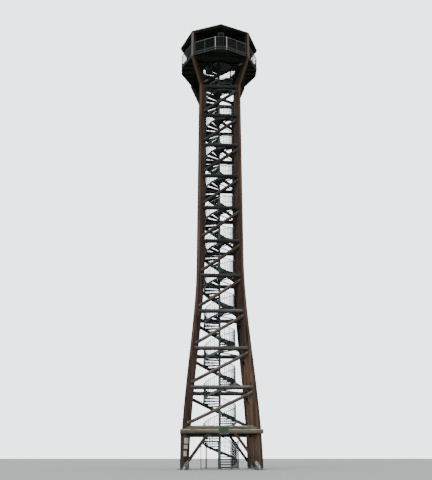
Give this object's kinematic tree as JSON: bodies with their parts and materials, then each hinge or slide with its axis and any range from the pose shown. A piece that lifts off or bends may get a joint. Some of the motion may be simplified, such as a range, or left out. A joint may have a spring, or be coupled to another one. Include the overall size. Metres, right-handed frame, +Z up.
{
  "type": "timber fire lookout tower",
  "caption": "Tall fire lookout tower: curved timber legs, ring beams and diagonals, a steel spiral stair inside, and an octagonal roofed lookout with guard rails.",
  "frame": {"origin": "centre of the newel's base flange on the ground, on the tower's axis", "axes": "+Z up along the newel, -Y to the front face, +X to the right seen from the front"},
  "size_m": [6.9524, 6.9524, 37.0622],
  "materials": {
    "timber": "weathered red-brown stain",
    "weathered_timber": "greyed by weather",
    "galvanised": "hot-dip galvanised, dull",
    "flashing": "folded sheet, dull",
    "roof_metal": "dark matt coated sheet",
    "painted_sheet": "grey-green matt paint",
    "white_plate": "off-white enamel, bare"
  },
  "bodies": {
    "root": {"leg_front_left": "timber", "leg_front_right": "timber", "leg_rear_left": "timber", "leg_rear_right": "timber", "leg_shoes": "galvanised", "base_outer_beams": "weathered_timber", "base_upper_beams": "weathered_timber", "base_flashing": "flashing", "knee_braces": "timber", "knee_shoes": "galvanised", "ring_beams": "weathered_timber", "joint_angles": "galvanised", "diagonals_front": "timber", "diagonals_right": "timber", "diagonals_rear": "timber", "diagonals_left": "timber", "newel": "galvanised", "treads_lower": "galvanised", "treads_upper": "galvanised", "string_lower": "galvanised", "string_upper": "galvanised", "stair_rail_lower": "galvanised", "stair_rail_upper": "galvanised", "stair_ties": "galvanised", "stair_cage": "galvanised", "cage_panels": "galvanised", "deck_girders": "timber", "deck_rim_beams": "timber", "deck_joists": "timber", "deck_boards": "weathered_timber", "toe_boards": "galvanised", "hatch_ring": "galvanised", "hatch_landing": "galvanised", "hatch_guard": "galvanised", "guard_panels": "galvanised", "corner_guards": "galvanised", "corner_locker": "painted_sheet", "eave_beams": "timber", "hip_rafters": "timber", "roof_hub": "timber", "roof_sheets": "roof_metal", "hip_caps": "roof_metal", "roof_cap": "roof_metal", "name_board": "painted_sheet", "leg_plates": "white_plate"}
  },
  "joints": []
}
